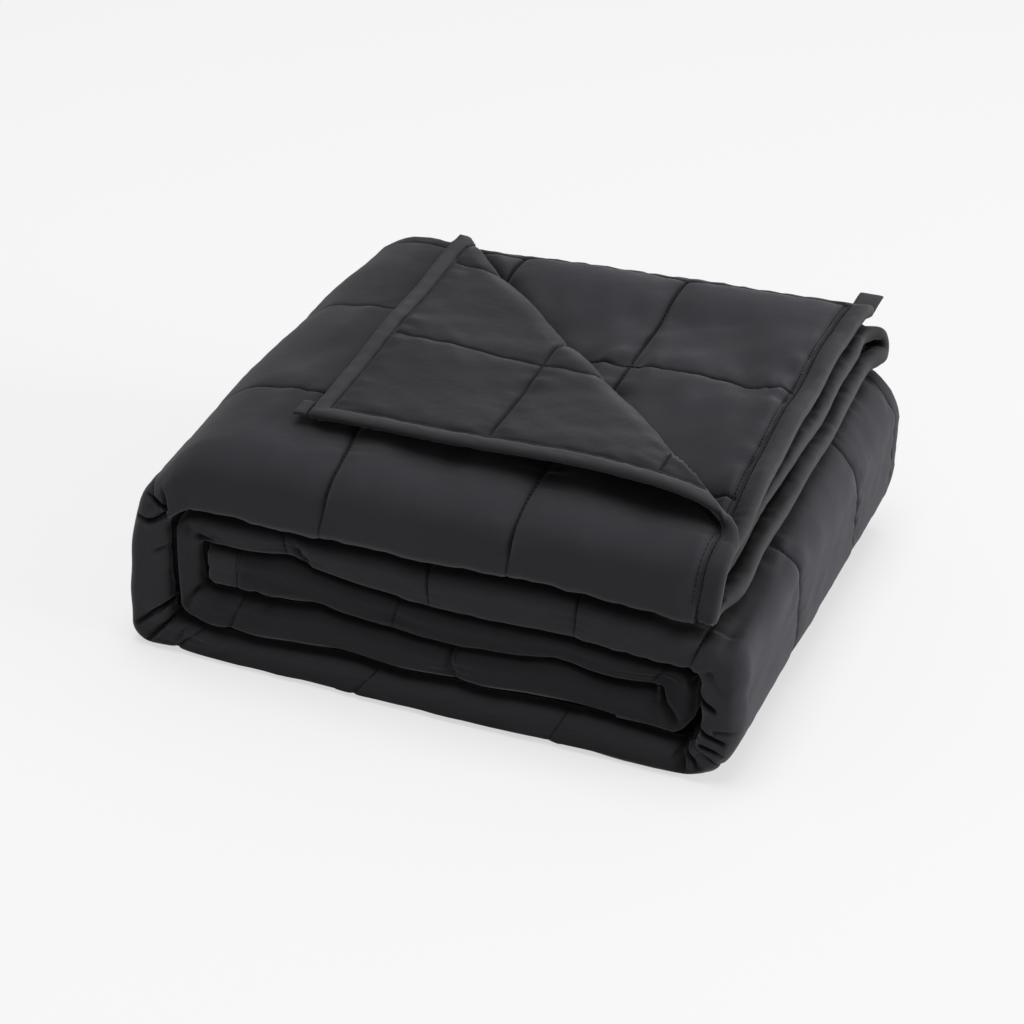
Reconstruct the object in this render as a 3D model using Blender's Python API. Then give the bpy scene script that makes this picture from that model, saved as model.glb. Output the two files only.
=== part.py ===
"""Folded weighted blanket: one quilted cloth, folded in four and rolled flat, one corner turned back.

The cloth is drawn flat first. u runs along its length, v across its width and w through it.
Station lines are cut into the flat cloth, and then every vertex is carried through the folds:
the four plies of the strip, the flat roll of five layers, and the corner flap on top.
The axes of the folded block: +X to the free end, +Y to the back, +Z up, millimetres until the end.
"""
import math
from collections import namedtuple

import bmesh
import bpy
import numpy as np
from mathutils import Matrix

MM = 0.001

# The flat cloth
LENGTH = 2032.0
WIDTH = 1524.0
HEM = 11.0
SQUARES_LONG = 16
SQUARES_WIDE = 12
PITCH_LONG = (LENGTH - 2 * HEM) / SQUARES_LONG
PITCH_WIDE = (WIDTH - 2 * HEM) / SQUARES_WIDE
SQUARE_STEPS = (0.0, 0.2, 0.8)
HIDDEN_STEPS = (0.0, 0.5)
HIDDEN_SQUARES = range(4, 9)

# Through the cloth, as shares of the room that one ply has in the stack
LOOSE_PLY = 8.75
SEAM_HALF = 0.22
CROWN_HALF = 0.46
HEM_CORE_HALF = 0.14
TAPE_HALF = 0.33
TAPE_WALL = 1.05
TAPE_WIDTH = 10.2
CORE_INSET = 1.6
CUT_MERGE = 0.01

# The four plies of the strip: a fold at the front, one at the back, one inside the first
FRONT_FOLD = (HEM + (2 + SQUARE_STEPS[2]) * PITCH_WIDE, HEM + (3 + SQUARE_STEPS[1]) * PITCH_WIDE)
TIGHT_FOLD = 7.0
BACK_FOLD = (WIDTH / 2 - TIGHT_FOLD, WIDTH / 2 + TIGHT_FOLD)
INNER_SEAM = WIDTH - HEM - 3 * PITCH_WIDE
INNER_FOLD = (INNER_SEAM - TIGHT_FOLD, INNER_SEAM + TIGHT_FOLD)
FRONT_REACH = 1.5 + CROWN_HALF
DEPTH = 343.0
BACK_BULGE = 352.0
TOP_PLY_SEAM_Y = 87.0
ROLLED_PLY_SEAM_Y = 95.0
SECOND_PLY_SEAMS_Y = (80.0, 209.0, 335.0)
FOLD_PARTS = 4

# The roll, seen from the front: corners of the strip's outer and inner line
Turn = namedtuple("Turn", "name outer_x outer_z outer_radius inner_x inner_z inner_radius")
ROLL = (
    Turn("free end", 14.0, 176.0, 0.0, 14.0, 128.0, 0.0),
    Turn("left top", -389.0, 176.5, 68.0, -366.0, 126.0, 22.0),
    Turn("left bottom", -404.0, 0.0, 18.0, -371.0, 37.0, 8.0),
    Turn("right bottom", 31.0, 0.0, 50.0, 2.0, 37.0, 10.0),
    Turn("right top", 31.0, 125.0, 36.0, 0.0, 89.0, 9.0),
    Turn("core left top", -366.0, 125.0, 20.0, -340.5, 104.0, 2.0),
    Turn("core left bottom", -368.0, 37.5, 14.0, -341.0, 67.0, 2.0),
    Turn("core right bottom", -1.0, 38.0, 15.0, -27.0, 67.7, 0.9),
    Turn("core right top", -1.0, 88.6, 15.0, -27.0, 69.7, 0.9),
    Turn("inner end", -332.5, 102.3, 0.0, -332.5, 68.3, 0.0),
)
ARC_STEPS = 10
TURN_PER_STATION = math.radians(40.0)
TURN_PARTS = 4
ROLL_SAMPLE = 0.5
# Where seams across the length lie along the roll's middle line
SeamPlace = namedtuple("SeamPlace", "seam along")
SEAM_PLACES = (
    SeamPlace(0, 11.0), SeamPlace(1, 136.6), SeamPlace(2, 264.0), SeamPlace(5, 663.7),
    SeamPlace(6, 799.7), SeamPlace(7, 903.0), SeamPlace(8, 990.0), SeamPlace(9, 1069.3),
    SeamPlace(11, 1271.3), SeamPlace(13, 1593.1),
)
# The top layer is flat in front and swells at the back, up to the first turn of the roll
TOP_LAYER_PLIES = (0.0, 0.2, 0.46, 0.73, 1.0)
TOP_LAYER_U = (300.0, 340.0)
FRONT_DOME = 0.97
BACK_DOME = 1.03
# How much wider the right side is at the back, for each millimetre of depth
RIGHT_FLARE = 0.031
FLARE_X = (-60.0, 30.0)

# The corner that is turned back: its crease in the flat cloth and its place on the top
CREASE_U = 314.0
CREASE_V = 343.0
CREASE_RADIUS = 5.4
CREASE_STEPS = 6
CREASE_CUT_REACH = 60.0
FLAP_REACH_U = CREASE_U + 40.0
FLAP_REACH_V = CREASE_V + 5.0
FLAP_CORNER = (-282.0, 50.0)
FLAP_ALONG_U = (-0.057, 0.924)
FLAP_ALONG_V = (0.860, -0.044)

# Tie loops
LOOP_WIDTH = 17.0
CORNER_LOOP_REACH = 27.0
FLAP_LOOP_REACH = 10.0
LOOP_TAPE = 1.0
LOOP_SLOT = 0.8
PIECE_GAP = 0.7
# A face counts as facing along an axis when its normal's share of that axis is larger
UPRIGHT = 0.5

# A place on the bottom layer, and how far from the floor a vertex still counts as lying on it
BOTTOM_U = 680.0
FLOOR_TOUCH = 0.6


def arc_between(before, corner, after, radius):
    """Points of the round that joins two straight runs at a corner."""
    corner = np.array(corner)
    if radius == 0.0:
        return [corner] * (ARC_STEPS + 1)
    run_in = np.array(before) - corner
    run_out = np.array(after) - corner
    run_in /= np.linalg.norm(run_in)
    run_out /= np.linalg.norm(run_out)
    half = math.acos(float(run_in @ run_out)) / 2
    middle = (run_in + run_out) / np.linalg.norm(run_in + run_out)
    centre = corner + middle * radius / math.sin(half)
    start = corner + run_in * radius / math.tan(half) - centre
    end = corner + run_out * radius / math.tan(half) - centre
    sweep = math.pi - 2 * half
    points = []
    for step in range(ARC_STEPS + 1):
        angle = sweep * step / ARC_STEPS
        share = math.sin(sweep - angle) * start + math.sin(angle) * end
        points.append(centre + share / math.sin(sweep))
    return points


def rounded_line(corners):
    """A line through corners of x, z and radius, with its rounds."""
    points = [np.array(corners[0][:2])]
    for before, corner, after in zip(corners, corners[1:], corners[2:]):
        points += arc_between(before[:2], corner[:2], after[:2], corner[2])
    points.append(np.array(corners[-1][:2]))
    return np.array(points)


def roll_lines():
    """The strip's outer and inner line, and the length along their middle at each point."""
    outer = rounded_line([(turn.outer_x, turn.outer_z, turn.outer_radius) for turn in ROLL])
    inner = rounded_line([(turn.inner_x, turn.inner_z, turn.inner_radius) for turn in ROLL])
    steps = np.linalg.norm(np.diff((outer + inner) / 2, axis=0), axis=1)
    run = np.concatenate(([0.0], np.cumsum(steps)))
    return run, outer, inner


RUN, OUTER, INNER = roll_lines()
KNOWN_RUN = [0.0] + [place.along for place in SEAM_PLACES] + [RUN[-1]]
KNOWN_U = [0.0] + [HEM + place.seam * PITCH_LONG for place in SEAM_PLACES] + [LENGTH]


def on_line(line, u):
    """Points of one line of the roll, where the flat cloth is at u."""
    run = np.interp(u, KNOWN_U, KNOWN_RUN)
    return np.stack([np.interp(run, RUN, line[:, 0]), np.interp(run, RUN, line[:, 1])], axis=-1)


def strip_unit(u):
    """Room of one ply, in millimetres, where the strip is at u."""
    return np.linalg.norm(on_line(OUTER, u) - on_line(INNER, u), axis=-1) / 4


def share_between(value, limits):
    """0 at the first limit, 1 at the second, straight in between."""
    return np.clip((value - limits[0]) / (limits[1] - limits[0]), 0.0, 1.0)


def roll(u, depth, layer):
    """Carry the strip into the roll: layer is 0 at its outer face and 4 at its inner one."""
    plies = np.arange(5.0)
    top = 1 - share_between(u, TOP_LAYER_U)
    share = (1 - top) * layer / 4 + top * np.interp(layer, plies, TOP_LAYER_PLIES)
    dome = FRONT_DOME + (BACK_DOME - FRONT_DOME) * share_between(depth, (0.0, DEPTH))
    outer = on_line(OUTER, u)
    inner = on_line(INNER, u)
    outer = inner + (outer - inner) * (1 + (dome - 1) * top)[:, None]
    place = outer + (inner - outer) * share[:, None]
    x = place[:, 0]
    x = x + RIGHT_FLARE * depth * share_between(x, FLARE_X) * (1 - top)
    return np.stack([x, depth, place[:, 1]], axis=-1)


def strip_section(u, v, w):
    """Fold the width in four: depth from the front and place in the stack of plies."""
    unit = strip_unit(u)
    nose = FRONT_REACH * unit
    tail = BACK_BULGE - (0.5 + CROWN_HALF) * unit
    seam_y = np.where(u < TOP_LAYER_U[1], TOP_PLY_SEAM_Y, ROLLED_PLY_SEAM_Y)
    seam_v = HEM + 2 * PITCH_WIDE
    depth = np.empty_like(v)
    layer = np.empty_like(v)

    ply = v < FRONT_FOLD[0]
    near = (v - seam_v) / (FRONT_FOLD[0] - seam_v)
    near_y = seam_y + (nose - seam_y) * near
    far_y = DEPTH + (seam_y - DEPTH) * v / seam_v
    depth[ply] = np.where(v > seam_v, near_y, far_y)[ply]
    layer[ply] = (0.5 - w)[ply]

    fold = (v >= FRONT_FOLD[0]) & (v <= FRONT_FOLD[1])
    angle = math.pi * (v - FRONT_FOLD[0]) / (FRONT_FOLD[1] - FRONT_FOLD[0])
    depth[fold] = (nose - (1.5 + w) * unit * np.sin(angle))[fold]
    layer[fold] = (2.0 - (1.5 + w) * np.cos(angle))[fold]

    ply = (v > FRONT_FOLD[1]) & (v < BACK_FOLD[0])
    share = (v - FRONT_FOLD[1]) / (BACK_FOLD[0] - FRONT_FOLD[1])
    depth[ply] = (nose + (tail - nose) * share)[ply]
    layer[ply] = (3.5 + w)[ply]

    fold = (v >= BACK_FOLD[0]) & (v <= BACK_FOLD[1])
    angle = math.pi * (v - BACK_FOLD[0]) / (BACK_FOLD[1] - BACK_FOLD[0])
    depth[fold] = (tail + (0.5 + w) * unit * np.sin(angle))[fold]
    layer[fold] = (3.0 + (0.5 + w) * np.cos(angle))[fold]

    ply = (v > BACK_FOLD[1]) & (v < INNER_FOLD[0])
    share = (v - BACK_FOLD[1]) / (INNER_FOLD[0] - BACK_FOLD[1])
    depth[ply] = (tail + (nose - tail) * share)[ply]
    layer[ply] = (2.5 - w)[ply]

    fold = (v >= INNER_FOLD[0]) & (v <= INNER_FOLD[1])
    angle = math.pi * (v - INNER_FOLD[0]) / (INNER_FOLD[1] - INNER_FOLD[0])
    depth[fold] = (nose - (0.5 - w) * unit * np.sin(angle))[fold]
    layer[fold] = (2.0 + (0.5 - w) * np.cos(angle))[fold]

    ply = v > INNER_FOLD[1]
    seams = [WIDTH - HEM - PITCH_WIDE * count for count in (2, 1, 0)]
    below, between, above = SECOND_PLY_SEAMS_Y
    first = nose + (below - nose) * (v - INNER_FOLD[1]) / (seams[0] - INNER_FOLD[1])
    rest = np.interp(v, seams + [WIDTH], [below, between, above, above + HEM])
    depth[ply] = np.where(v < seams[0], first, rest)[ply]
    layer[ply] = (1.5 + w)[ply]
    return depth, layer


def folded(u, v, w):
    """The block before the corner is turned back."""
    depth, layer = strip_section(u, v, w)
    return roll(u, depth, layer)


def flap_place(u, v):
    x = FLAP_CORNER[0] + FLAP_ALONG_U[0] * u + FLAP_ALONG_V[0] * v
    y = FLAP_CORNER[1] + FLAP_ALONG_U[1] * u + FLAP_ALONG_V[1] * v
    return np.stack([x, y], axis=-1)


def top_height(xy):
    """Height of the top ply's middle under a point of the flap."""
    u = ROLL[0].outer_x - xy[:, 0]
    seam_v = HEM + 2 * PITCH_WIDE
    depths = [0.0, TOP_PLY_SEAM_Y, DEPTH]
    v = np.interp(xy[:, 1], depths, [FRONT_FOLD[0], seam_v, 0.0])
    return folded(u, v, np.zeros_like(u))[:, 2]


def turn_corner(u, v, w, placed):
    """Turn the cloth's corner at u = v = 0 back over the crease."""
    room = strip_unit(np.zeros(1))[0] * 4 * TOP_LAYER_PLIES[1]
    reach = math.hypot(CREASE_U, CREASE_V)
    size = CREASE_U * CREASE_V / reach
    past = (1 - u / CREASE_U - v / CREASE_V) * size
    arc = math.pi * CREASE_RADIUS / 2
    step = np.array([CREASE_V, CREASE_U]) / reach
    flat = np.stack([u, v], axis=-1)

    low = flat + step * (past + arc)[:, None]
    high = flat + step * (past - arc)[:, None]
    zero = np.zeros_like(u)
    start = folded(np.maximum(low[:, 0], 0.0), np.maximum(low[:, 1], 0.0), zero)
    end = flap_place(high[:, 0], high[:, 1])
    angle = math.pi * np.clip((past + arc) / (2 * arc), 0.0, 1.0)
    blend = (1 - np.cos(angle)) / 2
    radius = CREASE_RADIUS - w * room
    centre = start[:, :2] + (end - start[:, :2]) * blend[:, None]
    rolled = np.empty_like(placed)
    rolled[:, :2] = centre + step * (radius * np.sin(angle))[:, None]
    rolled[:, 2] = start[:, 2] + CREASE_RADIUS - radius * np.cos(angle)

    lying = np.empty_like(placed)
    lying[:, :2] = flap_place(u, v)
    lying[:, 2] = top_height(lying[:, :2]) + CREASE_RADIUS + radius

    corner = (u < FLAP_REACH_U) & (v < FLAP_REACH_V)
    turning = corner & (past > -arc) & (past < arc)
    turned = corner & (past >= arc)
    result = placed.copy()
    result[turning] = rolled[turning]
    result[turned] = lying[turned]
    return result


def carry(mesh):
    """Take every vertex of a flat piece through the folds."""
    points = np.array([vertex.co[:] for vertex in mesh.verts])
    u, v, w = points[:, 0], points[:, 1], points[:, 2] / LOOSE_PLY
    placed = turn_corner(u, v, w, folded(u, v, w))
    bottom_ply = strip_unit(np.array([BOTTOM_U]))[0]
    placed[:, 2] -= (0.5 - CROWN_HALF) * bottom_ply
    placed[placed[:, 2] < FLOOR_TOUCH, 2] = 0.0
    for vertex, place in zip(mesh.verts, placed):
        vertex.co = place


def without_doubles(stations):
    return sorted({round(station, 3) for station in stations})


def square_lines(pitch, count, size, hidden=()):
    """Seam lines and the lines where the crown of each square starts and ends."""
    lines = [size - HEM]
    for index in range(count):
        steps = HIDDEN_STEPS if index in hidden else SQUARE_STEPS
        lines += [HEM + pitch * (index + step) for step in steps]
    return sorted(lines)


def roll_stations():
    """Lines across the length, closer where the strip turns."""
    stations = square_lines(PITCH_LONG, SQUARES_LONG, LENGTH)
    samples = np.arange(0.0, LENGTH, ROLL_SAMPLE)
    line = on_line((OUTER + INNER) / 2, samples)
    heading = np.unwrap(np.arctan2(np.gradient(line[:, 1]), np.gradient(line[:, 0])))
    extra = []
    for start, end in zip(stations, stations[1:]):
        turn = abs(np.interp(end, samples, heading) - np.interp(start, samples, heading))
        parts = min(TURN_PARTS, math.ceil(turn / TURN_PER_STATION))
        extra += [start + (end - start) * part / parts for part in range(1, parts)]
    return without_doubles(stations + extra)


def fold_stations():
    """Lines across the width, closer in the three folds."""
    stations = square_lines(PITCH_WIDE, SQUARES_WIDE, WIDTH, HIDDEN_SQUARES)
    extra = []
    for start, end in (FRONT_FOLD, BACK_FOLD, INNER_FOLD):
        extra += [start + (end - start) * part / FOLD_PARTS for part in range(FOLD_PARTS + 1)]
    return without_doubles(stations + extra)


def crown(position, pitch):
    """Share of the crown at a place on a square, 0 on its seams."""
    share = ((position - HEM) / pitch) % 1.0
    return share_between(np.minimum(share, 1 - share), SQUARE_STEPS[:2])


def half_thickness(u, v):
    """Half the cloth's thickness: thin in the hem, seams between the raised squares."""
    inside = np.minimum.reduce([u, LENGTH - u, v, WIDTH - v])
    raised = crown(u, PITCH_LONG) * crown(v, PITCH_WIDE)
    square = SEAM_HALF + (CROWN_HALF - SEAM_HALF) * raised
    in_hem = inside < HEM + CUT_MERGE
    return np.where(in_hem, HEM_CORE_HALF, square) * LOOSE_PLY


def cut(mesh, point, normal, faces=None):
    """Cut a straight line into a flat piece, or into some of its faces."""
    chosen = list(mesh.faces) if faces is None else faces
    edges = {edge for face in chosen for edge in face.edges}
    corners = {corner for face in chosen for corner in face.verts}
    bmesh.ops.bisect_plane(
        mesh, geom=list(corners) + list(edges) + chosen, dist=1e-5, plane_co=point, plane_no=normal)


def flat_slab(inset, half):
    """A flat slab of the cloth's size with every station line cut into it."""
    mesh = bmesh.new()
    bmesh.ops.create_cube(mesh, size=1.0)
    scale = (LENGTH - 2 * inset, WIDTH - 2 * inset, 2 * half)
    bmesh.ops.scale(mesh, vec=scale, verts=mesh.verts)
    bmesh.ops.translate(mesh, vec=(LENGTH / 2, WIDTH / 2, 0.0), verts=mesh.verts)
    for u in roll_stations():
        cut(mesh, (u, 0.0, 0.0), (1.0, 0.0, 0.0))
    for v in fold_stations():
        cut(mesh, (0.0, v, 0.0), (0.0, 1.0, 0.0))
    return mesh


def cut_crease(mesh):
    """Lines along the diagonal crease, in the corner that is turned back."""
    reach = math.hypot(CREASE_U, CREASE_V)
    across = (CREASE_V / reach, CREASE_U / reach, 0.0)
    arc = math.pi * CREASE_RADIUS / 2
    for step in range(CREASE_STEPS + 1):
        shift = arc * (2 * step / CREASE_STEPS - 1)
        point = (CREASE_U + shift * across[0], shift * across[1], 0.0)
        faces = []
        for face in mesh.faces:
            middle = face.calc_center_median()
            if middle.x < CREASE_U + CREASE_CUT_REACH and middle.y < CREASE_V + CREASE_CUT_REACH:
                faces.append(face)
        cut(mesh, point, across, faces)


def make_object(name, mesh, material, collection):
    """Close a piece, turn its faces outward and put it in the collection in metres."""
    bmesh.ops.triangulate(mesh, faces=mesh.faces)
    bmesh.ops.recalc_face_normals(mesh, faces=mesh.faces)
    for face in mesh.faces:
        face.smooth = True
    data = bpy.data.meshes.new(name)
    mesh.to_mesh(data)
    mesh.free()
    data.materials.append(material)
    piece = bpy.data.objects.new(name, data)
    collection.objects.link(piece)
    return piece


def cloth_material(name, colour, roughness):
    material = bpy.data.materials.new(name)
    material.use_nodes = True
    shader = material.node_tree.nodes["Principled BSDF"]
    shader.inputs["Base Color"].default_value = (*colour, 1.0)
    shader.inputs["Roughness"].default_value = roughness
    shader.inputs["Metallic"].default_value = 0.0
    return material


def build_quilt(material, collection):
    mesh = flat_slab(CORE_INSET, LOOSE_PLY / 2)
    cut_crease(mesh)
    points = np.array([vertex.co[:] for vertex in mesh.verts])
    half = half_thickness(points[:, 0], points[:, 1])
    for vertex, thickness in zip(mesh.verts, half):
        vertex.co.z = math.copysign(thickness, vertex.co.z)
    carry(mesh)
    return make_object("quilt", mesh, material, collection)


def build_binding(material, collection):
    """Tape folded round the cloth's whole edge, mitred at the corners, one closed ring."""
    mesh = flat_slab(0.0, TAPE_HALF * LOOSE_PLY)
    for u in (TAPE_WIDTH, LENGTH - TAPE_WIDTH):
        cut(mesh, (u, 0.0, 0.0), (1.0, 0.0, 0.0))
    for v in (TAPE_WIDTH, WIDTH - TAPE_WIDTH):
        cut(mesh, (0.0, v, 0.0), (0.0, 1.0, 0.0))
    inner = []
    for face in mesh.faces:
        middle = face.calc_center_median()
        across = TAPE_WIDTH < middle.y < WIDTH - TAPE_WIDTH
        along = TAPE_WIDTH < middle.x < LENGTH - TAPE_WIDTH
        if along and across and abs(face.normal.z) > UPRIGHT:
            inner.append(face)
    bmesh.ops.delete(mesh, geom=inner, context="FACES")
    cut_crease(mesh)
    bmesh.ops.recalc_face_normals(mesh, faces=mesh.faces)
    bmesh.ops.solidify(mesh, geom=list(mesh.faces), thickness=TAPE_WALL)
    carry(mesh)
    return make_object("edge_binding", mesh, material, collection)


def build_loop(name, place, outward, reach, material, collection):
    """A short tape loop that stands out from a corner, folded back on itself."""
    outer = LOOP_TAPE + LOOP_SLOT / 2
    mesh = bmesh.new()
    bmesh.ops.create_cube(mesh, size=1.0)
    bmesh.ops.scale(mesh, vec=(reach, LOOP_WIDTH, 2 * outer), verts=mesh.verts)
    bmesh.ops.translate(mesh, vec=(PIECE_GAP + reach / 2, 0.0, 0.0), verts=mesh.verts)
    ends = [face for face in mesh.faces if face.normal.x < -UPRIGHT]
    sides = [face for face in mesh.faces if abs(face.normal.y) > UPRIGHT]
    bmesh.ops.delete(mesh, geom=ends + sides, context="FACES")
    bmesh.ops.recalc_face_normals(mesh, faces=mesh.faces)
    bmesh.ops.solidify(mesh, geom=list(mesh.faces), thickness=LOOP_TAPE)
    turn = Matrix.Translation(place) @ Matrix.Rotation(math.atan2(outward[1], outward[0]), 4, "Z")
    bmesh.ops.transform(mesh, matrix=turn, verts=mesh.verts)
    return make_object(name, mesh, material, collection)


def build_loops(material, collection):
    """One loop at the free corner of the second ply, one at the corner that is turned back."""
    middle = np.array([LOOP_WIDTH / 2])
    corner = folded(middle, np.array([WIDTH]), np.zeros(1))[0]
    flap = flap_place(middle, np.zeros(1))
    height = top_height(flap)[0] + 2 * CREASE_RADIUS
    away = (-FLAP_ALONG_U[1], FLAP_ALONG_U[0])
    flap_spot = (flap[0][0], flap[0][1], height)
    return [
        build_loop("tie_loop_corner", corner, (0.0, 1.0), CORNER_LOOP_REACH, material, collection),
        build_loop("tie_loop_flap", flap_spot, away, FLAP_LOOP_REACH, material, collection),
    ]


def settle(pieces):
    """Metres, with the origin at the bottom centre of the block."""
    low = np.full(3, np.inf)
    high = np.full(3, -np.inf)
    for piece in pieces:
        points = np.array([vertex.co[:] for vertex in piece.data.vertices])
        low = np.minimum(low, points.min(axis=0))
        high = np.maximum(high, points.max(axis=0))
    shift = np.array([(low[0] + high[0]) / 2, (low[1] + high[1]) / 2, low[2]])
    for piece in pieces:
        for vertex in piece.data.vertices:
            vertex.co = (np.array(vertex.co[:]) - shift) * MM


def main():
    for old in list(bpy.data.objects):
        bpy.data.objects.remove(old, do_unlink=True)
    collection = bpy.data.collections.new("folded_weighted_blanket")
    bpy.context.scene.collection.children.link(collection)
    quilt_cloth = cloth_material("quilt_cloth", (0.036, 0.036, 0.040), 0.85)
    tape_cloth = cloth_material("binding_tape", (0.030, 0.030, 0.033), 0.8)
    loop_cloth = cloth_material("loop_tape", (0.026, 0.026, 0.029), 0.8)

    pieces = [
        build_quilt(quilt_cloth, collection),
        build_binding(tape_cloth, collection),
    ]
    pieces += build_loops(loop_cloth, collection)
    settle(pieces)


main()
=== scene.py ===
"""Looks of the folded weighted blanket: cloth, tape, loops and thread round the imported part.

The cloth is drawn flat in millimetres (u along it, v across it, w through it) and every vertex
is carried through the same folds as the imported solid. The seams, gathers and creases, and the
small moves in the tables below, are added to follow the photograph.
"""

import math

import bmesh
import bpy
import numpy as np
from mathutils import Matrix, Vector


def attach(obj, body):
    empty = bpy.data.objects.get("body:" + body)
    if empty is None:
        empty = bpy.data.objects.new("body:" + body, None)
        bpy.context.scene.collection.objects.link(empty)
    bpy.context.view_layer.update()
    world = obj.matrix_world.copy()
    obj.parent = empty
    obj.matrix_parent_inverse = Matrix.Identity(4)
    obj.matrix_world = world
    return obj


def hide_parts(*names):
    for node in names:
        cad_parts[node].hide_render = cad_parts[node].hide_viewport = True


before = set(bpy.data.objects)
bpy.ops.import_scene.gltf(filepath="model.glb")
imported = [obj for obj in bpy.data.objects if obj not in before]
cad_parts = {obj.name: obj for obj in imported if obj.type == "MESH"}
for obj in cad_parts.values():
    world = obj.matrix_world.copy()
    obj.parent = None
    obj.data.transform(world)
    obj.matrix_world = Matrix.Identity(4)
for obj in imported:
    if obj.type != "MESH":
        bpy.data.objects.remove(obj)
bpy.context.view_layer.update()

MM = 0.001
SHIFT = np.array((-179.429, 187.393, 0.0))

# The flat cloth
LENGTH = 2032.0
WIDTH = 1524.0
HEM = 11.0
PITCH_U = (LENGTH - 2 * HEM) / 16
PITCH_V = (WIDTH - 2 * HEM) / 12
PLY = 8.75
SEAM_HALF = 0.16
CROWN_HALF = 0.47
SEAM_REACH = 6.0
STITCH_REACH = 1.3
GATHER_REACH = 11.0
BAND = 13.4
CORE_HALF = 0.13
CORE_INSET = 1.6

FRONT_FOLD = (HEM + 2.5 * PITCH_V, HEM + 3.06 * PITCH_V)
BACK_FOLD = (WIDTH / 2 - 7.0, WIDTH / 2 + 7.0)
INNER_SEAM = WIDTH - HEM - 3 * PITCH_V
INNER_FOLD = (INNER_SEAM - 7.0, INNER_SEAM + 7.0)
FRONT_REACH = 1.5 + CROWN_HALF

# The fold: x of the free end, y of the back edges, how much further back the back fold lies at the
# free end, how far it lies inside the edges in plies, and where the top layer ends along the cloth
FREE_END_X = 14.0
BACK_EDGE_Y = 343.0
BACK_FOLD_END = 9.0
BACK_FOLD_INSET = 0.96
TOP_LAYER_END = (300.0, 400.0)

# name, outer x, z, radius, inner x, z, radius
ROLL = (
    ("free end", 14.0, 176.0, 0.0, 14.0, 128.0, 0.0),
    ("left top", -389.0, 176.5, 68.0, -366.0, 126.0, 22.0),
    ("left bottom", -404.0, 0.0, 13.0, -371.0, 37.0, 8.0),
    ("right bottom", 31.0, 0.0, 52.0, 2.0, 37.0, 10.0),
    ("right top", 31.0, 125.0, 36.0, 0.0, 89.0, 9.0),
    ("core left top", -366.0, 125.0, 20.0, -346.0, 104.0, 6.0),
    ("core left bottom", -368.0, 37.5, 8.0, -347.0, 67.0, 6.0),
    ("core right bottom", -1.0, 38.0, 15.0, -27.0, 67.7, 0.9),
    ("core right top", -1.0, 88.6, 15.0, -27.0, 69.7, 0.9),
    ("inner end", -342.0, 102.3, 0.0, -342.0, 68.3, 0.0),
)
ARC_STEPS = 24
# seam number, place along the path
SEAM_PLACES = (
    (0, 11), (1, 136.6), (2, 264), (5, 663.7), (6, 799.7), (7, 903), (8, 990), (9, 1069.3),
    (11, 1271.3), (13, 1593.1), (15, 1953), (16, 2069),
)

# y of the top ply: u, back edge, back stitch, second seam, first seam
TOP_PLY_Y = (
    (0, 350, 336, 218, 87), (314, 339, 328, 219, 88), (560, 336, 326, 222, 92),
    (950, 345, 333, 240, 114), (1120, 349, 334, 232, 106), (1300, 343, 332, 225, 100),
    (2032, 343, 332, 220, 96),
)
# y of the second ply: u, first seam, second seam, back stitch, back edge
SECOND_PLY_Y = (
    (0, 76, 202, 336, 347), (60, 78, 207, 336, 347), (314, 84, 218, 334, 345),
    (2032, 84, 214, 332, 343),
)
# place along the path, how far the fold there stands back from the front
FRONT_SET = (
    (0, 0), (340, 0), (450, 0.5), (700, 0.5), (890, 0.5), (940, 0), (1060, 4), (1336, 5), (1420, 4),
    (1734, 3.5), (1790, 4), (2080, 4.5),
)
# place along the path, rounding of the fold in plies on its outer side and on its inner side
NOSE_ROUND = (
    (0, 1.15, 0.26), (345, 1.15, 0.26), (410, 0.8, 0.4), (500, 0.5, 0.5), (540, 0.35, 0.5),
    (870, 0.35, 0.5), (930, 0.9, 0.5), (980, 0.9, 0.4), (1060, 0.9, 0.26), (1337, 0.8, 0.26),
    (1380, 0.5, 0.4), (1430, 0.3, 0.6), (1730, 0.3, 0.6), (1757, 0.6, 0.4), (1790, 0.7, 0.26),
    (2080, 0.7, 0.26),
)
# v, how far the free end stands out there
END_SET = (
    (0, 1.5), (300, 2), (330, 1.5), (360, -1.5), (388, -4.5), (411, 0.5), (464, 1.5), (517, 4.6),
    (570, 6.2), (623, 7.4), (676, 7), (729, 7.5), (762, 12.5), (779, 2.5), (814, 1.8), (867, 1),
    (920, 1.7), (973, -0.4), (1026, -4.4), (1079, -6.4), (1130, -8), (1150, -6), (1370, -3.2),
    (1459, -3.8), (1488, -2.6), (1524, -0.4),
)
TOP_PLIES = (0.0, 0.2, 0.46, 0.73, 1.0)
# y, thickness of the top layer there as a share
DOME = (
    (0, 0.87), (20, 0.90), (46, 0.935), (87, 0.985), (150, 1), (218, 0.99), (280, 1.01), (335, 0.985),
    (352, 0.96),
)
RIGHT_FLARE = 0.031
# u, share of a layer's room left open beside it at the front, share of its room that stays put
FRONT_GAP = (
    (0, 0.02, 0), (345, 0.025, 0), (860, 0.03, 0), (1030, 0.04, 0.1), (1120, 0.05, 0.5),
    (2032, 0.05, 0.5),
)
GAP_DEPTH = (18.0, 60.0)

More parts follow.
